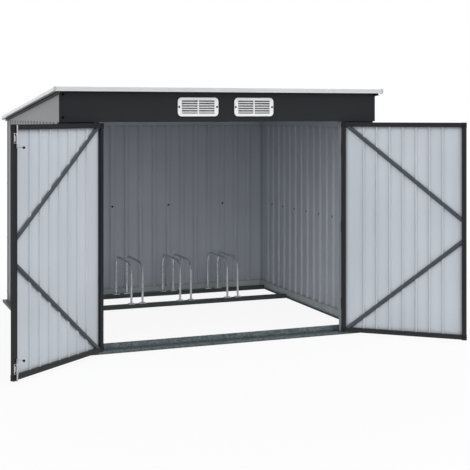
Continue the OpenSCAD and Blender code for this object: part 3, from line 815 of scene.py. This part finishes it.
@dataclass
class Walls(Assembly):
    """The ribbed sheets, their trims, posts and top rails, and the rows of screws that hold them."""

    side_pitch: float = 0.110
    back_pitch: float = 0.117
    foot_z: float = 40 * MM
    top_drop: float = 26 * MM
    sheet_t: float = 1 * MM
    head_t: float = 2 * MM
    head_h: float = 36 * MM
    head_edge: float = 0.5 * MM
    trim_leg: float = 20 * MM
    trim_inset: float = 70 * MM
    trim_step: float = 0.42

    def build(self) -> None:
        """Dresses the walls and sets their screws, heads outside and nuts inside."""
        self.coat(Surface.SHEET, ["wall_left"], TO_LEFT)
        self.coat(Surface.SHEET, ["wall_right"], -TO_LEFT)
        self.coat(Surface.SHEET, ["wall_back"], TO_BACK)
        self.coat(Surface.SHEET, ["front_panel_left", "front_panel_right"], TO_FRONT)
        self.coat(Surface.SHEET, ["top_rail_left", "top_rail_right", "top_rail_back"])
        self.coat(Surface.DARK, ["front_corner_trims", "back_corner_trims", "door_lintel"])
        # The posts take a darkened copy of the sheet paint: painted shade.
        self.coat(Surface.SHADED_POST, ["door_post_left", "door_post_right"])
        self._post_heads_and_shade()
        levels = self._levels()
        heads = [place for z in levels for place in self._row(z)]
        nuts = [(point - out * self.sheet_t, -out) for point, out in self._row(levels[1])]
        self.fasten("wall_screws", "shelter", Fixing.HEX, Surface.ZINC, heads)
        self.fasten("wall_nuts", "shelter", Fixing.WASHER, Surface.SCREW, nuts)
        self.fasten("trim_screws", "shelter", Fixing.PAN, Surface.SCREW, self._trim_places())

    def _post_heads_and_shade(self) -> None:
        """Puts a dark plate on the head of each door post, where it meets the lintel; the plates are partly
        the frame's head and partly painted shade under the fascia.
        """
        shape = Shape()
        for node in ("door_post_left", "door_post_right"):
            post = Box.of(node)
            size = Vector((post.high.x - post.low.x, self.head_t, self.head_h))
            middle = Vector((post.middle.x, post.low.y - self.head_t / 2, post.high.z - self.head_h / 2))
            shape.slab(Matrix.Translation(middle), size, self.head_edge)
        shape.done("post_head_plates_and_shade", "shelter", self.palette, Surface.DARK)

    def _levels(self) -> list[float]:
        """Returns the heights of the rows of screws: foot, middle and top."""
        foot, top = Box.of("wall_left").low.z, Box.of("gable_left").low.z
        return [self.foot_z, (foot + top) / 2, top - self.top_drop]

    def _row(self, z: float) -> list[Seat]:
        """Returns one row of screws around the walls.

        Args:
            z: the row's height.

        Returns:
            Foot and direction of each screw, through the crests of ribs.
        """
        left, right, back = (Box.of(f"wall_{side}") for side in ("left", "right", "back"))
        places = []
        for y in self._steps(left.low.y, left.high.y, self.side_pitch, self.side_pitch / 2):
            places.append((Vector((left.high.x - self.sheet_t, y, z)), TO_LEFT))
            places.append((Vector((right.low.x + self.sheet_t, y, z)), -TO_LEFT))
        for x in self._steps(back.low.x, back.high.x, 2 * self.back_pitch, 2 * self.back_pitch):
            places.append((Vector((x, back.low.y + self.sheet_t, z)), TO_BACK))
        return places

    @staticmethod
    def _steps(start: float, end: float, pitch: float, offset: float) -> list[float]:
        """Shares screws along a wall.

        Args:
            start: the wall's first end.
            end: the wall's other end.
            pitch: distance between ribs that may take a screw.
            offset: how far the first screw stands from the middle.

        Returns:
            Places two pitches apart, counted from the middle both ways.
        """
        first = (start + end) / 2 + offset
        count = int((end - start) / 2 / (2 * pitch)) + 1
        places = [first + i * 2 * pitch for i in range(-count, count + 1)]
        return [place for place in places if start + pitch / 2 < place < end - pitch / 2]

    def _trim_places(self) -> list[Seat]:
        """Places the screws of the corner trims.

        Returns:
            Foot and direction of each, on the legs that lie on the side walls and the back.
        """
        trims = Box.of("back_corner_trims")
        fronts = Box.of("front_corner_trims")
        leg = self.trim_leg
        places = []
        for z in spaced(trims.low.z + self.trim_inset, trims.high.z - self.trim_inset, self.trim_step):
            for y in (fronts.low.y + leg, trims.high.y - leg):
                places.append((Vector((trims.low.x, y, z)), TO_LEFT))
                places.append((Vector((trims.high.x, y, z)), -TO_LEFT))
            for x in (trims.low.x + leg, trims.high.x - leg):
                places.append((Vector((x, trims.high.y, z)), TO_BACK))
        return places


@dataclass
class Front(Assembly):
    """The fascia with its two vents and the gables beside it."""

    end_set: float = 24 * MM
    top_set: float = 20 * MM
    foot_set: float = 29 * MM
    vent_set: float = 9 * MM

    def build(self) -> None:
        """Dresses the front and sets its screws."""
        self.coat(Surface.DARK, ["fascia", "gable_rail_left", "gable_rail_right"])
        self.coat(Surface.SHEET, ["gable_left"], TO_LEFT)
        self.coat(Surface.SHEET, ["gable_right"], -TO_LEFT)
        self.coat(Surface.VENT, ["vent_grille_left", "vent_grille_right"])
        fascia = Box.of("fascia")
        x = fascia.low.x + self.end_set
        levels = (fascia.high.z - self.top_set, fascia.low.z + self.foot_set)
        screws = [(Vector((x, fascia.low.y, z)), TO_FRONT) for z in levels]
        self.fasten("fascia_screws", "shelter", Fixing.WASHER, Surface.SCREW, screws)
        vents = []
        for node in ("vent_grille_left", "vent_grille_right"):
            vent = Box.of(node)
            for x in (vent.low.x + self.vent_set, vent.high.x - self.vent_set):
                vents.append((Vector((x, vent.low.y, vent.middle.z)), TO_FRONT))
        self.fasten("vent_screws", "shelter", Fixing.PAN, Surface.SCREW, vents)


@dataclass
class Roof(Assembly):
    """The roof sheet, its trims and purlins, and the screws through its ribs."""

    rib_pitch: float = 0.150
    rows: int = 4
    row_set: float = 0.09
    cap_t: float = 10 * MM
    cap_lap: float = 1 * MM
    cap_edge: float = 3 * MM

    def build(self) -> None:
        """Dresses the roof and sets its screws."""
        self.coat(Surface.ROOF, ["roof_sheet", "roof_edge_front", "roof_edge_back"])
        self.coat(Surface.VERGE, ["roof_verge_left", "roof_verge_right"])
        self.coat(Surface.ZINC, ["roof_purlins"])
        sheet = self.frame["nodes"]["roof_sheet"]
        plane = self._plane(sheet)
        box = Box.within(sheet, plane)
        out = (plane.to_3x3() @ UP).normalized()
        count = int((box.high.x - box.low.x) / self.rib_pitch) - 1
        screws = []
        step = (box.high.y - box.low.y) / self.rows
        for y in spaced(box.low.y + self.row_set, box.high.y - self.row_set, step):
            for i in range(count):
                x = (i - (count - 1) / 2) * self.rib_pitch
                screws.append((plane @ Vector((x, y, box.high.z)), out))
        self.fasten("roof_screws", "shelter", Fixing.ROOFING, Surface.ZINC, screws)
        self._end_caps(plane)

    def _end_caps(self, plane: Matrix) -> None:
        """Closes the ends of the front trim with small plastic caps.

        Args:
            plane: the roof's own axes.
        """
        shape = Shape()
        trim = Box.within(self.frame["nodes"]["roof_edge_front"], plane)
        depth = trim.high.y - trim.low.y
        rise = trim.high.z - trim.low.z
        size = Vector((self.cap_t, depth, rise)) + Vector((0, 1, 1)) * 2 * self.cap_lap
        for x in (trim.low.x, trim.high.x):
            middle = Vector((x, trim.middle.y, trim.middle.z))
            shape.slab(plane @ Matrix.Translation(middle), size, self.cap_edge)
        shape.done("roof_end_caps", "shelter", self.palette, Surface.CAP)

    @staticmethod
    def _plane(sheet: bpy.types.Object) -> Matrix:
        """Finds the roof's own axes, from the mean slope of its upper faces.

        Args:
            sheet: the roof sheet.

        Returns:
            The axes, with Z out of the roof.
        """
        least_up = 0.98
        ups = [p.normal for p in sheet.data.polygons if p.normal.z > least_up]
        normal = sum(ups, Vector()).normalized()
        pitch = math.atan2(-normal.y, normal.z)
        low = Box.of("roof_sheet").low
        return Matrix.Translation((0, low.y, 0)) @ Matrix.Rotation(pitch, 4, "X")


@dataclass
class DoorLeaf(Assembly):
    """One door leaf: its frame, sheet, braces and hinges, in axes that turn with it."""

    side: str = "left"
    brace_gap: float = 0.108
    brace_w: float = 25 * MM
    brace_inset: float = 34 * MM
    plate_set: float = 14 * MM
    hinge_count: int = 3
    hinge_h: float = 72 * MM
    hinge_set: float = 8 * MM
    hinge_face: float = 5 * MM
    bar: float = 28 * MM
    shoe_h: float = 33 * MM
    shoe_skin: float = 1.5 * MM
    shoe_foot: float = 3 * MM
    shoe_head: float = 1 * MM
    shoe_edge: float = 1.2 * MM

    def __post_init__(self) -> None:
        """Works out the leaf's own axes: X from the hinge to the free edge and Y to the inside."""
        joint = next(j for j in self.frame["joints"] if j["name"] == f"{self.side}_door_swing")
        opened = math.radians(-joint["range_deg"][0]) * joint["axis"][2]
        mirror = Matrix.Identity(4) if self.side == "left" else Matrix.Scale(-1, 4, (1, 0, 0))
        x, y, _ = joint["pos_m"]
        self.body = f"{self.side}_door"
        self.place = Matrix.Translation((x, y, 0)) @ Matrix.Rotation(opened, 4, "Z") @ mirror
        self.frame_box = self.box_of("stiles")
        self.brace_box = self.box_of("braces")

    def box_of(self, part: str) -> Box:
        """Measures one of the leaf's nodes in the leaf's own axes."""
        return Box.within(self.frame["nodes"][f"{self.body}_{part}"], self.place)

    def point(self, x: float, y: float, z: float) -> Vector:
        """Returns a point of the leaf in the frame's axes."""
        return self.place @ Vector((x, y, z))

    def toward(self, direction: Vector) -> Vector:
        """Returns a direction of the leaf in the frame's axes."""
        return (self.place.to_3x3() @ direction).normalized()

    def build(self) -> None:
        """Dresses the leaf and adds its rivets, hinge screws and shoes."""
        self.coat(Surface.DARK, [f"{self.body}_{part}" for part in ("stiles", "rails", "hinges")])
        self.coat(Surface.DARK, [f"hinge_plates_{self.side}"])
        self.coat(Surface.SHEET, [f"{self.body}_sheet"], self.toward(TO_FRONT))
        self.coat(Surface.BRACE, [f"{self.body}_braces"])
        rivets = [(point, self.toward(TO_BACK)) for point in self._brace_ends()]
        self.fasten(f"{self.side}_brace_rivets", self.body, Fixing.RIVET, Surface.BRACE, rivets)
        screws = [(point, self.toward(TO_FRONT)) for point in self._hinge_points()]
        self.fasten(f"{self.side}_hinge_screws", self.body, Fixing.PAN, Surface.SCREW, screws)
        self._shoes()

    def _shoes(self) -> None:
        """Puts a black plastic shoe on each end of both stiles; the upper shoes stand partly for painted
        shade at the stiles' heads.
        """
        box = self.frame_box
        wide = 2 * self.shoe_skin
        size = Vector((self.bar + wide, box.high.y - box.low.y + wide, self.shoe_h))
        low = box.low.z - self.shoe_foot + self.shoe_h / 2
        high = box.high.z + self.shoe_head - self.shoe_h / 2
        shape = Shape()
        for x in (box.low.x + self.bar / 2, box.high.x - self.bar / 2):
            for z in (low, high):
                shape.slab(self.place @ Matrix.Translation((x, box.middle.y, z)), size, self.shoe_edge)
        shape.done(f"{self.side}_stile_shoes", self.body, self.palette, Surface.KNOB)

    def _brace_ends(self) -> list[Vector]:
        """Places the rivets of the braces.

        Returns:
            Points near both ends of each brace, on its inner face.
        """
        box = self.brace_box
        run = box.high.x - box.low.x
        rise = (box.high.z - box.low.z - self.brace_gap) / 2
        length = math.hypot(run, rise)
        along = Vector((-run, 0, rise)) / length
        across = Vector((rise, 0, run)) / length * self.brace_w / 2
        points = []
        for mirror in (-1, 1):
            for step in (self.brace_inset, length - self.brace_inset):
                spot = along * step + across
                z = box.middle.z + mirror * (self.brace_gap / 2 + spot.z)
                points.append(self.point(box.high.x + spot.x, box.high.y, z))
        return points

    def _hinge_points(self) -> list[Vector]:
        """Places the screws of the hinges.

        Returns:
            Points on the leaf's hinge plates, two to a plate.
        """
        hinges = self.box_of("hinges")
        pitch = (hinges.high.z - hinges.low.z - self.hinge_h) / (self.hinge_count - 1)
        x = hinges.high.x - self.hinge_set
        points = []
        for i in range(self.hinge_count):
            for z in (self.plate_set, self.hinge_h - self.plate_set):
                points.append(self.point(x, self.hinge_face, hinges.low.z + i * pitch + z))
        return points


@dataclass
class SlideBolts(Assembly):
    """The two bolts on the left leaf, with their guides and black knobs."""

    leaf: DoorLeaf | None = None
    knob_r: float = 7 * MM
    knob_skin: float = 0.5 * MM
    neck_r: float = 4.2 * MM
    neck_l: float = 1.5 * MM
    rings: int = 14
    sides: int = 24
    plate_t: float = 1.5 * MM
    plate_edge: float = 1 * MM
    screw_set: float = 8 * MM

    def build(self) -> None:
        """Dresses the bolts and adds their knobs and base plates."""
        self.coat(Surface.ZINC, ["bolt_guides", "bolt_top", "bolt_bottom"])
        for name in ("top", "bottom"):
            bolt = Box.within(self.frame["nodes"][f"bolt_{name}"], self.leaf.place)
            z = bolt.low.z + self.knob_r if name == "top" else bolt.high.z - self.knob_r
            centre = self.leaf.point(bolt.middle.x, bolt.high.y - self.knob_r, z)
            self._knob(f"bolt_knob_{name}", f"{name}_bolt", centre)
        self._plates()

    def _plates(self) -> None:
        """Sets each guide on a thin plate across the stile, with two screws."""
        stile = self.leaf.frame_box
        guides = self.frame["nodes"]["bolt_guides"]
        box = Box.within(guides, self.leaf.place)
        points = [self.leaf.place.inverted() @ v.co for v in guides.data.vertices]
        foot_top = max(p.z for p in points if p.z < box.middle.z)
        head_foot = min(p.z for p in points if p.z > box.middle.z)
        first, last = box.low.x, stile.high.x - self.plate_edge
        inside = self.leaf.toward(TO_BACK)
        shape = Shape()
        screws = []
        for start, end in ((box.low.z, foot_top), (head_foot, box.high.z)):
            size = Vector((last - first, self.plate_t, end - start))
            middle = Vector(((first + last) / 2, stile.high.y + self.plate_t / 2, (start + end) / 2))
            shape.slab(self.leaf.place @ Matrix.Translation(middle), size, self.plate_edge / 2)
            for z in (start + self.screw_set, end - self.screw_set):
                point = self.leaf.point(last - self.screw_set, stile.high.y + self.plate_t, z)
                screws.append((point, inside))
        shape.done("bolt_plates", self.leaf.body, self.palette, Surface.ZINC)
        self.fasten("bolt_plate_screws", self.leaf.body, Fixing.RIVET, Surface.SCREW, screws)

    def _knob(self, name: str, body: str, centre: Vector) -> None:
        """Makes one ball knob with a short neck, over the end of a bolt's arm.

        Args:
            name: the piece's name.
            body: the bolt that carries it.
            centre: the middle of the ball.
        """
        radius = self.knob_r + self.knob_skin
        place = standing(centre, self.leaf.toward(TO_BACK))
        start = math.asin(self.neck_r / radius)
        turns = [start + (math.pi - start) * i / self.rings for i in range(self.rings)]
        ball = [(radius * math.sin(a), -radius * math.cos(a)) for a in turns]
        neck = (self.neck_r, ball[0][1] - self.neck_l)
        shape = Shape()
        shape.turned(place, [neck, *ball], self.sides)
        shape.done(name, body, self.palette, Surface.KNOB)


@dataclass(frozen=True)
class Lamp:
    """A broad soft lamp far from the shelter, turned to the right of the front."""

    name: str
    level: float
    turn: float
    width: float = math.radians(70)
    rise: float = math.radians(16)

    def build(self) -> None:
        """Adds the lamp to the scene."""
        lamp = bpy.data.lights.new(self.name, "SUN")
        lamp.energy = self.level
        lamp.angle = self.width
        holder = put_in_scene(self.name, lamp)
        holder.visible_glossy = False
        flat = math.cos(self.rise)
        toward = Vector((math.sin(self.turn) * flat, -math.cos(self.turn) * flat, math.sin(self.rise)))
        holder.rotation_euler = toward.to_track_quat("Z", "Y").to_euler()


@dataclass
class Studio:
    """The floor, the light and the camera at the photograph's place."""

    ambient: float = 0.3
    lamps: tuple[Lamp, ...] = (
        Lamp("key", level=2.42, turn=math.radians(34), width=math.radians(112)),
        Lamp("fill", level=1.35, turn=math.radians(-60)),
        Lamp("back", level=1.0, turn=math.radians(158)),
    )
    eye: Vector = field(default_factory=lambda: Vector((-2.321, -6.256, 1.46)))
    heading: float = math.radians(-21.018)
    lens: float = 80.4
    shift: float = -0.2605
    floor_half: float = 60.0
    shadow_share: float = 0.1
    shadow_near: float = 1.8
    shadow_far: float = 4.5
    bounce: float = 0.6

    def build(self) -> None:
        """Sets the view transform and builds the light, the floor and the camera."""
        bpy.context.scene.view_settings.view_transform = "Standard"
        self._world()
        self._floor()
        for lamp in self.lamps:
            lamp.build()
        self._camera()

    @staticmethod
    def _seen(graph: Graph) -> Socket:
        """Tells rays that the eye follows from those that only carry light.

        Args:
            graph: the graph that asks.

        Returns:
            One for a ray seen straight, mirrored or through glass, and zero for others.
        """
        path = graph.add("ShaderNodeLightPath").outputs
        mirrored = graph.maths("MAXIMUM", path["Is Glossy Ray"], path["Is Transmission Ray"])
        return graph.maths("MAXIMUM", path["Is Camera Ray"], mirrored)

    def _world(self) -> None:
        """Builds a sky that lights evenly and is seen as white."""
        world = bpy.data.worlds.new("studio")
        bpy.context.scene.world = world
        world.use_nodes = True
        graph = Graph(world.node_tree)
        glow = graph.add("ShaderNodeBackground", {"Color": (1, 1, 1, 1), "Strength": self.ambient})
        white = graph.add("ShaderNodeBackground", {"Color": (1, 1, 1, 1), "Strength": 1.0})
        inputs = {0: self._seen(graph), 1: glow.outputs[0], 2: white.outputs[0]}
        mixed = graph.add("ShaderNodeMixShader", inputs)
        graph.add("ShaderNodeOutputWorld", {"Surface": mixed.outputs[0]})

    def _floor(self) -> None:
        """Builds a white floor that keeps the shelter's shadow and has no horizon."""
        shape = bmesh.new()
        bmesh.ops.create_grid(shape, x_segments=1, y_segments=1, size=self.floor_half)
        data = bpy.data.meshes.new("floor")
        shape.to_mesh(data)
        shape.free()
        floor = put_in_scene("floor", data)
        material, graph = new_material("floor_white")
        place = graph.add("ShaderNodeNewGeometry").outputs["Position"]
        away = graph.add("ShaderNodeVectorMath", {0: place}, operation="LENGTH").outputs["Value"]
        plain = graph.span(away, self.shadow_near, self.shadow_far, 1 - self.shadow_share, 1.0)
        full = (1, 1, 1, 1)
        dull = (self.bounce, self.bounce, self.bounce, 1)
        matte = graph.add("ShaderNodeBsdfDiffuse", {"Color": full}).outputs[0]
        white = graph.add("ShaderNodeEmission", {"Color": full, "Strength": 1.0}).outputs[0]
        shown = graph.add("ShaderNodeMixShader", {0: plain, 1: matte, 2: white}).outputs[0]
        unseen = graph.add("ShaderNodeBsdfDiffuse", {"Color": dull}).outputs[0]
        mixed = graph.add("ShaderNodeMixShader", {0: self._seen(graph), 1: unseen, 2: shown})
        graph.add("ShaderNodeOutputMaterial", {"Surface": mixed.outputs[0]})
        data.materials.append(material)

    def _camera(self) -> None:
        """Builds the level camera of the photograph."""
        lens = bpy.data.cameras.new("camera")
        lens.lens = self.lens
        lens.shift_y = self.shift
        camera = put_in_scene("camera", lens)
        camera.location = self.eye
        camera.rotation_euler = (math.pi / 2, 0, self.heading)
        bpy.context.scene.camera = camera


def main() -> None:
    """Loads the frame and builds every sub-assembly around it."""
    logging.basicConfig(level=logging.INFO, format="%(name)s: %(message)s")
    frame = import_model()
    palette = Palette(Effects())
    Studio().build()
    left = DoorLeaf(frame, palette, "left")
    right = DoorLeaf(frame, palette, "right")
    for assembly in (
        BaseFrame(frame, palette),
        WheelRack(frame, palette),
        Walls(frame, palette),
        Front(frame, palette),
        Roof(frame, palette),
        left,
        right,
        SlideBolts(frame, palette, left),
    ):
        assembly.build()
    right.coat(Surface.DARK, ["door_handle"])


if __name__ == "__main__":
    main()
